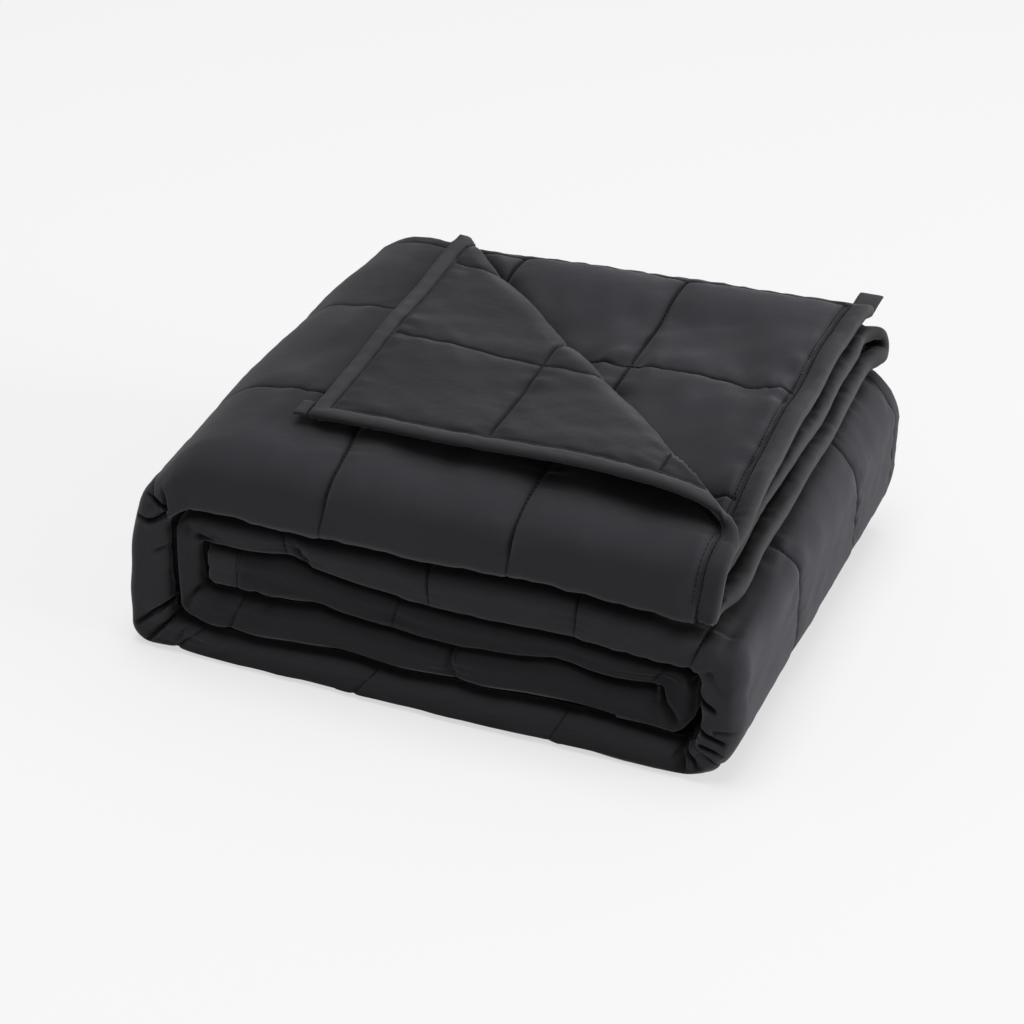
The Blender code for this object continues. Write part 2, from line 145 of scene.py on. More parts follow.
# x, height of the lines between the five layers on the front, from the floor up
LAYER_LINES = (
    (-362, 27, 59, 97.5, 114.5), (-342, 22.5, 56.8, 94, 115), (-322, 22, 57.5, 93.5, 115.5),
    (-300, 23.5, 58, 94.5, 115), (-277, 25.5, 59.5, 97.5, 114.8), (-261, 27, 61.8, 91, 113),
    (-237, 28.5, 58.6, 86, 112.8), (-204, 26, 56.6, 83.4, 114.2), (-165, 28, 55.5, 81.2, 115),
    (-142, 27, 57, 82, 116.6), (-110, 30.3, 61.2, 82.8, 118.8), (-92, 30.8, 65.6, 83, 117.6),
    (-70, 31.4, 61, 82, 115.2), (-40, 29.5, 60.6, 80.4, 114), (-8, 27, 66.5, 80, 109.2),
    (14, 28, 65, 81, 109.5),
)
# height of the same lines in the roll at x = 0, and their slope
LAYER_BASE = ((37.0, 0.0), (67.5, 0.0), (89.0, -0.044), (126.5, 0.0))
STACK_TOP = 178.0
WAVE_DEPTH = 110.0

# The corner that is turned back
CREASE_U = 314.0
CREASE_V = 322.0
CREASE_RADIUS = 5.4
FLAP_CORNER = (-282.0, 46.0)
FLAP_ALONG_U = (-0.057, 0.924)
FLAP_ALONG_V = (0.916, -0.047)
FLAP_SAG = 4.5
# the flap's front part lies as high as at this y, less by so much at the right end
FLAP_LEVEL_Y = 84.0
FLAP_LEVEL_END = 55.0
# how far the flap's hem is lifted, and over which distance
HEM_LIFT = (1.6, 14.0)
# how far the end of the crease is moved along x and up, and its reach past the crease and along v
CREASE_END_MOVE = (3.0, 3.6)
CREASE_END_REACH = (16.0, 24.0)
# the flap bridges the hollows under it: places round a point whose heights are averaged
FLAP_ROUND = ((0, 0), (-22, 0), (22, 0), (0, -22), (0, 22))
# x, how far the uncovered second ply rises in the middle and at its back edge
PUFF = ((-300, 3, 11), (-200, 5, 13.5), (-100, 8, 15), (14, 11, 14))
BACK_DROP = 6.0
# x, how far the second ply's back edge is lifted to run straight
BACK_LIFT = (
    (-316, 2.2), (-293, 2.6), (-247, 2), (-224, 2), (-201, 2.6), (-178, 4.3), (-155, 5.6), (-132, 4.1),
    (-109, 1.4), (-86, 0.4), (-40, -0.6), (14, -1),
)
# x, how far the flap's front edge is lifted
FLAP_LIFT = (
    (-282, -1), (-261, 1), (-240, 1.5), (-219, 2.5), (-198, 4.3), (-177, 5.2), (-156, 5.6), (-135, 7),
    (-113, 8.2), (-92, 8.4), (-71, 8.8), (-50, 10.2), (-29, 9.8), (-8, 6.6), (12, 1.5),
)
# u, how far the left turn is moved at the front: along x, up
LEFT_TURN = (
    (330, 0, 0), (352, 1, -2.2), (380, 3, -3.6), (400, 1.4, -2), (425, -3.2, 0), (455, -3.6, 0),
    (485, -3, 0), (510, 0, 0),
)
# how far the top's seams lean to the left, round which x and at which depths
SEAM_LEAN = 9.0
LEAN_ROUND = (-240.0, 45.0)
LEAN_DEPTHS = (12.0, 75.0, 95.0, 170.0)
BACK_RISE = 0.045
LEFT_RISE = 0.02
SWELL_HEIGHT = 1.3
BACK_WAVE_HEIGHT = 2.2

# Creases pressed into the front at the turns: depth, half width, then x, z of their points
CREASES = (
    (8, 1.7, ((-371, 41), (-384, 30.8), (-397, 18.5))),
    (7.5, 1.9, ((-369, 30), (-380, 18), (-390.5, 6.2))),
    (2.2, 1.8, ((-359, 25), (-366, 13.3))),
    (6, 1.5, ((-366, 116), (-373.4, 119.5), (-380, 122.5))),
    (7, 1.6, ((-367, 112), (-376, 105.5), (-381, 103.9), (-388, 105.2))),
    (2.6, 1.4, ((-366, 118.5), (-368, 130))),
    (2.2, 1.5, ((-370, 86), (-379.4, 80.1))),
    (7, 1.7, ((-342, 61.5), (-350.4, 54.7), (-360.1, 40.2))),
    (7, 1.6, ((-337, 96), (-346.1, 97.6), (-356.5, 101.5))),
    (2, 1.3, ((-333, 97.8), (-339.5, 105.2))),
    (2.4, 1.3, ((-341.5, 86.5), (-349, 82.1))),
    (2, 1.3, ((-342, 72.6), (-347, 68.6))),
    (9, 1.8, ((-3, 72), (1.2, 67.3), (6.5, 62.8), (13, 59))),
    (7.5, 1.7, ((-22.6, 65), (-20.4, 54.5), (-15.4, 45.9), (-11.2, 34.6))),
    (3.5, 2.6, ((-27, 60), (-25.5, 46))),
    (10, 2.4, ((-5, 39), (-7.2, 30), (-7.2, 20), (-5, 8.5))),
    (7, 1.4, ((-5.5, 26), (0.8, 18), (4.2, 12))),
    (7.5, 1.5, ((-2, 43), (5.7, 40.6), (11.6, 38.3), (19.5, 35.3))),
    (3.6, 1.4, ((5.5, 30.2), (12.7, 28.5), (19, 25.8))),
    (2, 1.6, ((13.4, 42.5), (26, 44.6))),
    (2.2, 3.4, ((9, 84), (16, 73))),
    (5, 2.4, ((-290, 63), (-299.6, 50))),
    (2.4, 2.3, ((-271, 65), (-272.5, 56))),
    (2.4, 2.6, ((-306, 62), (-317.5, 50.2))),
    (4.5, 1.5, ((-268, 96), (-277, 107.8))),
    (5, 1.9, ((-165, 57.5), (-165.4, 41))),
    (2.2, 1.8, ((-92, 67), (-90, 57))),
)
CREASE_REACH = 26.0
CREASE_FADE = 0.65
CREASE_SWELL = 0.3
CREASE_SWELL_WIDTH = 2.7

# the block sinks a little, and what then lies lower than the touch is pressed to a share of its height
FLOOR_SINK = 0.3
FLOOR_TOUCH = 0.6
FLOOR_PRESS = 0.25
FLOOR_DROP = 0.2

# Gathers and wrinkles as shares of a square's height; in the rounded front they are smaller
GATHER = 0.26
GATHER_FRONT = 0.14
GATHER_START = 3.0
WRINKLING = 0.10
FRONT_V = (338.0, 402.0)
# how much smoother the cloth lies at the crease, on the turned corner, at the back, in the left turn
CALM_CREASE = (0.75, 18.0)
CALM_FLAP = (0.35, 0.0, 30.0)
CALM_BACK = (0.8, WIDTH - 75.0, WIDTH - 45.0)
CALM_TURN = (0.6, (335.0, 355.0, 410.0, 440.0))
# share by which the face's seams sink less, and where: folded in at the front, stretched in the
# left turn, pressed on the floor
TUCKED = (0.75, (352.0, 372.0, 400.0, 420.0))
STRETCHED = (0.6, (340.0, 362.0, 405.0, 440.0), (-1.0, 330.0))
PRESSED = (0.6, (520.0, 560.0, 850.0, 880.0), (280.0, 420.0))
# the second stitch row beside the band: how deep and wide it is, and from which v it shows
BORDER_SINK = 0.45
BORDER_WIDTH = 1.2
BORDER_FROM = (320.0, 1140.0)


def curve(x, table, column=1):
    """A smooth line through one column of a table, level past its ends."""
    knots, values = np.array([(row[0], row[column]) for row in table], dtype=float).T
    slopes = np.gradient(values, knots)
    slopes[0] = slopes[-1] = 0.0
    x = np.clip(x, knots[0], knots[-1])
    i = np.clip(np.searchsorted(knots, x) - 1, 0, len(knots) - 2)
    gap = knots[i + 1] - knots[i]
    t = (x - knots[i]) / gap
    return (
        values[i] * (2 * t**3 - 3 * t**2 + 1)
        + values[i + 1] * (3 * t**2 - 2 * t**3)
        + slopes[i] * gap * (t**3 - 2 * t**2 + t)
        + slopes[i + 1] * gap * (t**3 - t**2)
    )


def ramp(x, low, high):
    """A smooth step from 0 to 1."""
    t = np.clip((x - low) / (high - low), 0.0, 1.0)
    return t * t * (3 - 2 * t)


def window(x, rise_start, rise_end, fall_start, fall_end):
    """1 between the two inner places, fading to 0 at the outer two."""
    return ramp(x, rise_start, rise_end) * (1 - ramp(x, fall_start, fall_end))


def bell(x, reach):
    """1 at 0, falling off on both sides."""
    return np.exp(-(x / reach) ** 2)


class Waves:
    """Soft seeded noise in two directions, about -1 to 1."""

    def __init__(self, seed, shortest, longest, count=14):
        rng = np.random.default_rng(seed)
        size = rng.uniform(shortest, longest, count)
        way = rng.uniform(0, 2 * math.pi, count)
        self.kx = 2 * math.pi * np.cos(way) / size
        self.ky = 2 * math.pi * np.sin(way) / size
        self.phase = rng.uniform(0, 2 * math.pi, count)
        self.scale = 1.4 / math.sqrt(count)

    def __call__(self, a, b):
        total = np.zeros(np.broadcast(a, b).shape)
        for kx, ky, phase in zip(self.kx, self.ky, self.phase):
            total += np.sin(kx * a + ky * b + phase)
        return total * self.scale


SWELL = Waves(11, 70.0, 150.0)
WRINKLE = Waves(12, 24.0, 60.0)
GATHER_F = Waves(13, 9.0, 24.0)
GATHER_G = Waves(14, 9.0, 24.0)
BACK_WAVE = Waves(15, 90.0, 200.0)


def arc_between(before, corner, after, radius):
    """Points of the round that joins two straight runs at a corner."""
    corner = np.array(corner)
    if radius == 0.0:
        return [corner] * (ARC_STEPS + 1)
    run_in = np.array(before) - corner
    run_out = np.array(after) - corner
    run_in /= np.linalg.norm(run_in)
    run_out /= np.linalg.norm(run_out)
    half = math.acos(float(run_in @ run_out)) / 2
    middle = (run_in + run_out) / np.linalg.norm(run_in + run_out)
    centre = corner + middle * radius / math.sin(half)
    start = corner + run_in * radius / math.tan(half) - centre
    end = corner + run_out * radius / math.tan(half) - centre
    sweep = math.pi - 2 * half
    points = []
    for step in range(ARC_STEPS + 1):
        angle = sweep * step / ARC_STEPS
        share = math.sin(sweep - angle) * start + math.sin(angle) * end
        points.append(centre + share / math.sin(sweep))
    return points


def roll_lines():
    """Outer and inner line of the rolled strip, and the distance run along them."""
    lines = []
    for first in (1, 4):
        corners = [row[first:first + 3] for row in ROLL]
        points = [np.array(corners[0][:2])]
        for before, corner, after in zip(corners, corners[1:], corners[2:]):
            points += arc_between(before[:2], corner[:2], after[:2], corner[2])
        points.append(np.array(corners[-1][:2]))
        lines.append(np.array(points))
    outer, inner = lines
    steps = np.linalg.norm(np.diff((outer + inner) / 2, axis=0), axis=1)
    run = np.concatenate(([0.0], np.cumsum(steps)))
    return run, outer, inner


RUN, OUTER, INNER = roll_lines()
SEAM_RUN = np.array([0.0] + [place for _, place in SEAM_PLACES] + [RUN[-1]])
SEAM_U = np.array([0.0] + [HEM + seam * PITCH_U for seam, _ in SEAM_PLACES] + [LENGTH])


def path(u):
    """Place along the roll of a place along the cloth."""
    return np.interp(u, SEAM_U, SEAM_RUN)


def on_line(line, s):
    """Points of a line at places along the path."""
    return np.stack([np.interp(s, RUN, line[:, 0]), np.interp(s, RUN, line[:, 1])], axis=-1)


def strip_unit(s):
    """Room of one ply in millimetres, at a place along the path."""
    return np.linalg.norm(on_line(OUTER, s) - on_line(INNER, s), axis=-1) / 4


def between(v, knots, values):
    """Straight lines through knots; values, or knots too, differ from vertex to vertex."""
    result = np.array(values[0], dtype=float) + np.zeros_like(v)
    for k0, k1, a, b in zip(knots, knots[1:], values, values[1:]):
        part = (v >= k0) & (v <= k1)
        line = a + (b - a) * (v - k0) / (k1 - k0)
        result = np.where(part, line, result)
    return np.where(v > knots[-1], values[-1], result)


def nose_line(share, upper, lower):
    """Run of the outer fold, a squared-off round, in plies: reach, level and the way out."""
    a = 1.5 - upper
    b = 3.0 - upper - lower
    marks = np.cumsum([
        a, math.pi / 2 * upper, b, math.pi / 2 * lower, 1.5 - lower], axis=0)
    s = share * marks[4]
    turn = np.clip((s - marks[0]) / upper, 0.0, math.pi / 2)
    back = np.clip((s - marks[2]) / lower, 0.0, math.pi / 2)
    down = np.clip(s - marks[1], 0.0, b)
    reach = np.minimum(s, a) + upper * np.sin(turn) - lower * (1 - np.cos(back))
    reach -= np.clip(s - marks[3], 0.0, None)
    level = -1.5 + upper * (1 - np.cos(turn)) + down + lower * np.sin(back)
    out_y = np.where(s < marks[1], np.sin(turn), np.cos(back))
    out_n = np.where(s < marks[1], -np.cos(turn), np.sin(back))
    return reach, level, out_y, out_n


def part_way(v, start, end):
    """Share of the way from start to end."""
    return (v - start) / (end - start)


def within(v, fold):
    """Where the cloth lies in a fold."""
    return (v >= fold[0]) & (v <= fold[1])


def strip_section(u, v, w):
    """Fold the width in four: depth from the front and place in the stack of plies."""
    s = path(u)
    unit = strip_unit(s)
    nose = FRONT_REACH * unit + curve(s, FRONT_SET)
    tail = BACK_EDGE_Y + BACK_FOLD_END * (1 - ramp(s, 0.0, 300.0)) - BACK_FOLD_INSET * unit
    depth = np.empty_like(v)
    layer = np.empty_like(v)

    def lay(part, depth_there, layer_there):
        depth[part] = depth_there[part]
        layer[part] = layer_there[part]

    # the top ply
    edge, stitch, second, first = (curve(u, TOP_PLY_Y, column) for column in (1, 2, 3, 4))
    knots = (0.0, HEM, HEM + PITCH_V, HEM + 2 * PITCH_V, FRONT_FOLD[0])
    lay(v < FRONT_FOLD[0], between(v, knots, (edge, stitch, second, first, nose)), 0.5 - w)
    # the outer fold at the front
    share = np.clip(part_way(v, *FRONT_FOLD), 0.0, 1.0)
    reach, level, out_y, out_n = nose_line(share, curve(s, NOSE_ROUND), curve(s, NOSE_ROUND, 2))
    deep = np.maximum(w, np.where(share > 0.5, -0.2, -0.5))
    lay(within(v, FRONT_FOLD), nose - unit * (reach + deep * out_y), 2.0 + level + deep * out_n)
    # the lowest ply
    share = part_way(v, FRONT_FOLD[1], BACK_FOLD[0])
    lay((v > FRONT_FOLD[1]) & (v < BACK_FOLD[0]), nose + (tail - nose) * share, 3.5 + w)
    # the fold at the back
    angle = math.pi * part_way(v, *BACK_FOLD)
    half = 0.5 + w
    lay(within(v, BACK_FOLD), tail + half * unit * np.sin(angle), 3.0 + half * np.cos(angle))
    # the third ply
    share = part_way(v, BACK_FOLD[1], INNER_FOLD[0])
    lay((v > BACK_FOLD[1]) & (v < INNER_FOLD[0]), tail + (nose - tail) * share, 2.5 - w)
    # the inner fold at the front
    angle = math.pi * part_way(v, *INNER_FOLD)
    half = 0.5 - w
    lay(within(v, INNER_FOLD), nose - half * unit * np.sin(angle), 2.0 + half * np.cos(angle))
    # the second ply
    near, middle, back, edge = (curve(u, SECOND_PLY_Y, column) for column in (1, 2, 3, 4))
    seams = [WIDTH - HEM - PITCH_V * count for count in (2, 1, 0)]
    knots = (INNER_FOLD[1], *seams, WIDTH)
    lay(v > INNER_FOLD[1], between(v, knots, (nose, near, middle, back, edge)), 1.5 + w)
    return depth, layer


def past_crease(u, v):
    """Distance in the flat cloth past the diagonal crease, towards the corner at u = v = 0."""
    reach = math.hypot(CREASE_U, CREASE_V)
    return (1 - u / CREASE_U - v / CREASE_V) * CREASE_U * CREASE_V / reach


def layer_wave(x, y, z):
    """Heights moved so that the lines between the layers run as they do on the front."""
    front = bell(np.clip(y, 0.0, None), WAVE_DEPTH)
    inside = window(x, -392.0, -366.0, 14.0, 34.0)
    none = np.zeros_like(x)
    levels = [none, *(height + slope * x for height, slope in LAYER_BASE), STACK_TOP + none]
    moves = [curve(x, LAYER_LINES, column) - levels[column] for column in (1, 2, 3, 4)]
    move = between(z, levels, [none, *moves, none])
    middle = np.sin(math.pi * np.clip(z / STACK_TOP, 0.0, 1.0))
    back = BACK_WAVE_HEIGHT * BACK_WAVE(x, z * 0.3) * ramp(y, 120.0, 300.0) * middle
    return z + (move * front + back) * inside


def folded(u, v, w):
    """The block before the corner is turned back."""
    depth, layer = strip_section(u, v, w)
    s = path(u)
    outer = on_line(OUTER, s)
    inner = on_line(INNER, s)
    top = 1 - ramp(u, *TOP_LAYER_END)
    top_share = np.where(layer < 0, layer * TOP_PLIES[1], np.interp(layer, np.arange(5.0), TOP_PLIES))
    share = (1 - top) * layer / 4 + top * top_share
    still = curve(u, FRONT_GAP, 2)
    open_front = curve(u, FRONT_GAP) * (1 - ramp(depth, *GAP_DEPTH))
    share = still + (share - still) * (1 - open_front)
    dome = 1 + (curve(depth, DOME) - 1) * (1 - ramp(s, 400.0, 500.0))
    outer = inner + (outer - inner) * dome[:, None]
    place = outer + (inner - outer) * share[:, None]
    x, z = place[:, 0], place[:, 1]
    x = x + RIGHT_FLARE * depth * np.clip((x + 60.0) / 90.0, 0.0, 1.0) * (1 - top)
    x = x + curve(v, END_SET) * (1 - ramp(u, 8.0, 90.0))
    outward = (1.15 - 0.65 * ramp(depth, 20.0, 220.0)) * np.clip(1 - layer / 4, 0.0, 1.0)
    x = x + curve(u, LEFT_TURN) * outward
    z = z + curve(u, LEFT_TURN, 2) * outward
    x = x - SEAM_LEAN * window(depth, *LEAN_DEPTHS) * bell(x - LEAN_ROUND[0], LEAN_ROUND[1]) * top

    # the second ply swells where the corner no longer lies on it
    past = past_crease(FREE_END_X - x, np.clip(BACK_EDGE_Y - depth, 0.0, None))
    puff = curve(x, PUFF) * ramp(past, -4.0, 60.0) * ramp(depth, 15.0, 90.0)
    puff = np.maximum(puff, curve(x, PUFF, 2) * ramp(past, -10.0, 12.0) * ramp(depth, 230.0, 315.0))
    puff = puff - BACK_DROP * ramp(depth, 330.0, 352.0)
    puff = puff + curve(x, BACK_LIFT) * ramp(depth, 240.0, 330.0)
    under = np.clip((4.0 - layer) / 3.0, 0.0, 1.0) * (v > FRONT_FOLD[0])
    z = z + puff * under * top
    z = layer_wave(x, depth, z)
    rise = BACK_RISE * ramp(x, -160.0, 10.0) * ramp(depth, 120.0, 340.0)
    z = z * (1 + rise + LEFT_RISE * ramp(-x, 250.0, 340.0) * ramp(depth, 150.0, 340.0))
    z = z + SWELL_HEIGHT * SWELL(x, depth) * ramp(z, 20.0, 150.0)
    return np.stack([x, depth, z], axis=-1)


def flap_place(u, v):
    """Where the turned corner lies, seen from above."""
    x = FLAP_CORNER[0] + FLAP_ALONG_U[0] * u + FLAP_ALONG_V[0] * v
    y = FLAP_CORNER[1] + FLAP_ALONG_U[1] * u + FLAP_ALONG_V[1] * v
    y = y - FLAP_SAG * np.sin(math.pi * np.clip(u / CREASE_U, 0.0, 1.0))
    return np.stack([x, y], axis=-1)


def top_height(xy):
    """Height of the top ply's middle round a point of the flap."""
    depths = (0.0, 24.0, 87.0, 218.0, 336.0, 350.0)
    seam = HEM + PITCH_V
    seams = (FRONT_FOLD[0] + 30.0, FRONT_FOLD[0], seam + PITCH_V, seam, HEM, 0.0)
    total = np.zeros(len(xy))
    for dx, dy in FLAP_ROUND:
        u = np.clip(FREE_END_X - xy[:, 0] - dx, 0.0, None)
        v = np.interp(xy[:, 1] + dy, depths, seams)
        total += folded(u, v, np.zeros_like(u))[:, 2]
    return total / len(FLAP_ROUND)


def turn_corner(u, v, w, placed):
    """Turn the cloth's corner at u = v = 0 back over the crease."""
    corner = (u < CREASE_U + 40.0) & (v < CREASE_V + 40.0) & (past_crease(u, v) > -30.0)
    if not corner.any():
        return placed
    u, v, w = u[corner], v[corner], w[corner]
    room = strip_unit(np.zeros(1))[0] * 4 * TOP_PLIES[1]
    reach = math.hypot(CREASE_U, CREASE_V)
    past = past_crease(u, v)
    arc = math.pi * CREASE_RADIUS / 2
    step = np.array([CREASE_V, CREASE_U]) / reach
    flat = np.stack([u, v], axis=-1)
    low = flat + step * (past + arc)[:, None]
    high = flat + step * (past - arc)[:, None]
    start = folded(np.maximum(low[:, 0], 0.0), np.maximum(low[:, 1], 0.0), np.zeros_like(u))
    end = flap_place(high[:, 0], high[:, 1])
    angle = math.pi * np.clip((past + arc) / (2 * arc), 0.0, 1.0)
    blend = (1 - np.cos(angle)) / 2
    radius = CREASE_RADIUS - w * room
    centre = start[:, :2] + (end - start[:, :2]) * blend[:, None]
    height = start[:, 2] + CREASE_RADIUS - radius * np.cos(angle)
    rolled = np.column_stack([centre + step * (radius * np.sin(angle))[:, None], height])

    spot = flap_place(u, v)
    hem_lift = HEM_LIFT[0] * np.exp(-np.minimum(u, v) / HEM_LIFT[1])
    under = spot.copy()
    under[:, 1] = np.maximum(spot[:, 1], FLAP_LEVEL_Y - FLAP_LEVEL_END * ramp(spot[:, 0], -75.0, 8.0))
    height = top_height(under) + CREASE_RADIUS + radius + hem_lift
    height += curve(spot[:, 0], FLAP_LIFT) * (1 - ramp(u, 10.0, 130.0))
    lying = np.column_stack([spot, height])
    end_round = bell(past, CREASE_END_REACH[0]) * bell(v, CREASE_END_REACH[1])
    for part in (rolled, lying):
        part[:, 0] += CREASE_END_MOVE[0] * end_round
        part[:, 2] += CREASE_END_MOVE[1] * end_round
    past = past[:, None]
    placed[corner] = np.where(past >= arc, lying, np.where(past > -arc, rolled, placed[corner]))
    return placed


def line_distance(x, z, points):
    """Distance to a line through points, and how far along it the nearest place is, 0 to 1."""
    best = np.full_like(x, np.inf)
    along = np.zeros_like(x)
    runs = np.diff(np.array(points), axis=0)
    sizes = np.linalg.norm(runs, axis=1)
    starts = np.concatenate(([0.0], np.cumsum(sizes)))
    for (x0, z0), (dx, dz), size, start in zip(points, runs, sizes, starts):
        t = np.clip(((x - x0) * dx + (z - z0) * dz) / size**2, 0.0, 1.0)
        gap = np.hypot(x - x0 - t * dx, z - z0 - t * dz)
        nearer = gap < best
        best = np.where(nearer, gap, best)
        along = np.where(nearer, (start + t * size) / starts[-1], along)
    return best, along


def press_creases(placed):
    """Short creases in the rounded front, where the strip turns, deepest at their first point."""
    x, y, z = placed.T
    near = np.clip(1 - y / CREASE_REACH, 0.0, 1.0) ** 0.7
    push = np.zeros_like(x)
    for deep, wide, points in CREASES:
        gap, along = line_distance(x, z, points)
        fade = deep * (1 - CREASE_FADE * along**2)
        dent = bell(gap, wide)
        swell = bell(gap, CREASE_SWELL_WIDTH * wide)
        push += fade * ((1 + CREASE_SWELL) * dent - CREASE_SWELL * swell)
    placed[:, 1] = y + push * near
    return placed


def place(u, v, w):
    """Flat cloth to the folded block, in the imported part's frame and in metres."""
    placed = turn_corner(u, v, w, folded(u, v, w))
    placed = press_creases(placed)
    z = placed[:, 2] - FLOOR_SINK
    pressed = FLOOR_PRESS * np.clip(z + 1.0, 0.0, None)
    placed[:, 2] = np.where(z < FLOOR_TOUCH, pressed, z - FLOOR_DROP)
    return (placed - SHIFT) * MM


def seam_distance(place, size, pitch):
    """Distance to the nearest seam, but to the band in the squares beside the edge."""
    gap = np.abs((place - HEM + pitch / 2) % pitch - pitch / 2)
    edge = np.minimum(place, size - place)
    return np.where(edge < HEM + 20.0, np.clip(edge - BAND, 0.0, None), gap)


def seam_rise(gap):
    """How far the cloth has risen at a distance from a seam: 0 in the stitches, 1 on the square."""
    return 1 - 0.6 * np.exp(-(gap / SEAM_REACH) ** 1.25) - 0.4 * bell(gap, STITCH_REACH)


def seam_gathers(u, v, side, gap_u, gap_v):
    """Small ridges that run away from the seams at right angles."""
    up = side > 0
    along = np.where(up, GATHER_F(u, 0.3 * v), GATHER_G(u, 0.3 * v))
    across = np.where(up, GATHER_F(0.3 * u, v), GATHER_G(0.3 * u, v))
    near_v = bell(gap_v - GATHER_START, GATHER_REACH)
    return along * near_v + across * bell(gap_u - GATHER_START, GATHER_REACH)


def calm_places(u, v, side):
    """Less than 1 where the cloth lies smoother."""
    past = past_crease(u, v)
    calm = 1 - CALM_CREASE[0] * bell(past, CALM_CREASE[1])
    calm = calm * (1 - CALM_BACK[0] * ramp(v, *CALM_BACK[1:]))
    calm = calm * (1 - CALM_FLAP[0] * ramp(past, *CALM_FLAP[1:]) * (side < 0))
    return calm * (1 - CALM_TURN[0] * window(u, *CALM_TURN[1]) * (v < FRONT_V[0]))


def fill(rise, share, there):
    """Raise a seam by a share where it sinks less."""
    return rise + (1 - rise) * share * there


def half_thickness(u, v, side):
    """Half the cloth's thickness in plies: flat seams, rounded squares and gathers."""
    gap_u = seam_distance(u, LENGTH, PITCH_U)
    gap_v = seam_distance(v, WIDTH, PITCH_V)
    up = side > 0
    shown = np.where(up, v > BORDER_FROM[0], v > BORDER_FROM[1])
    rise_u = seam_rise(gap_u) * (1 - BORDER_SINK * bell(u - BORDER_ROW[0], BORDER_WIDTH) * shown)
    rise_u = fill(rise_u, TUCKED[0], window(v, *TUCKED[1]) * up)
    share, along, (low, high) = STRETCHED
    rise_v = fill(seam_rise(gap_v), share, window(u, *along) * up * (v > low) * (v < high))
    share, along, (low, high) = PRESSED
    rise_u = fill(rise_u, share, window(u, *along) * up * (v > low) * (v < high))
    height = np.where((v > FRONT_V[0]) & (v < FRONT_V[1]), GATHER_FRONT, GATHER)
    uneven = height * seam_gathers(u, v, side, gap_u, gap_v) + WRINKLING * WRINKLE(u, v) * side
    square = rise_u * rise_v * (1 + calm_places(u, v, side) * uneven)
    half = SEAM_HALF + (CROWN_HALF - SEAM_HALF) * square
    inside = np.minimum.reduce([u, LENGTH - u, v, WIDTH - v])
    return np.where(inside < BAND, CORE_HALF, half)


# ---- quilt mesh
FINEST = 8
# cells of each square, more of them in the turns and in the rounded front
CELLS_LONG = (9, 9, 9, 12, 6, 6, 7, 12, 8, 6, 6, 10, 6, 9, 6, 6)
CELLS_WIDE = (9, 9, 14, 6, 4, 5, 5, 4, 6, 9, 9, 9)
TURNS_U = ((345.0, 508.0), (872.0, 1036.0), (1452.0, 1506.0), (1725.0, 1780.0))
# v of the rounded front, of the fold at the back and of the inner fold, where cells are cut finer
FRONT_CELLS = (312.0, 402.0)
BACK_CELLS = (745.0, 779.0)
INNER_CELLS = (1120.0, 1150.0)
RIM_PARTS = 2
SEAM_PULL = 0.75
FRONT_PULL = 0.3


def cell_level(side, u0, u1, v0, v1):
    """Into how many parts one cell of the flat cloth is cut, along and across: 1, 2, 4 or 8."""
    u, v = (u0 + u1) / 2, (v0 + v1) / 2
    past = past_crease(u, v)
    in_turn = any(start < u < end for start, end in TURNS_U)
    if side > 0:
        if within(v, FRONT_CELLS) and past < 60:
            return (8, 8) if in_turn else (4, 4)
        if u < 350 and v <= FRONT_CELLS[0]:
            return (4, 4) if past < 24 else (1, 1)
        if in_turn and v <= FRONT_CELLS[0] and u < 1100:
            return (4, 4)
    elif past > -24 or (u < 345 and v > 1125 and past_crease(u, WIDTH - v) > -60):
        return (4, 4)
    elif within(v, INNER_CELLS):
        return (1, 4)
    return (1, 4) if within(v, BACK_CELLS) else (1, 1)


def lattice(size, pitch, cells):
    """Positions of the finest lines: closer beside the seams, with the hems at both ends."""
    rows = []
    for square, count in enumerate(cells):
        t = np.arange(count * FINEST) / (count * FINEST)
        pull = FRONT_PULL if count == max(cells) else SEAM_PULL
        t = t - pull * np.sin(2 * math.pi * t) / (2 * math.pi)
        rows.append(HEM + pitch * (square + t))
    body = np.concatenate(rows + [[size - HEM]])
    hem = np.linspace(CORE_INSET, HEM, FINEST + 1)[:-1]
    return np.concatenate([hem, body, (size - hem)[::-1]])


def cell_rings(i0, j0, n, m, cuts):
    """Lattice points round each part of a cell; cuts are the steps on the left, right, front, back."""
    left, right, front, back = cuts
    wide, high = FINEST // n, FINEST // m
    for p in range(n):
        for q in range(m):
            i1, i2 = i0 + p * wide, i0 + (p + 1) * wide
            j1, j2 = j0 + q * high, j0 + (q + 1) * high
            ring = [(i, j1) for i in range(i1, i2, front if q == 0 else wide)]
            ring += [(i2, j) for j in range(j1, j2, right if p == n - 1 else high)]
            ring += [(i, j2) for i in range(i2, i1, -(back if q == m - 1 else wide))]
            ring += [(i1, j) for j in range(j2, j1, -(left if p == 0 else high))]
            yield ring


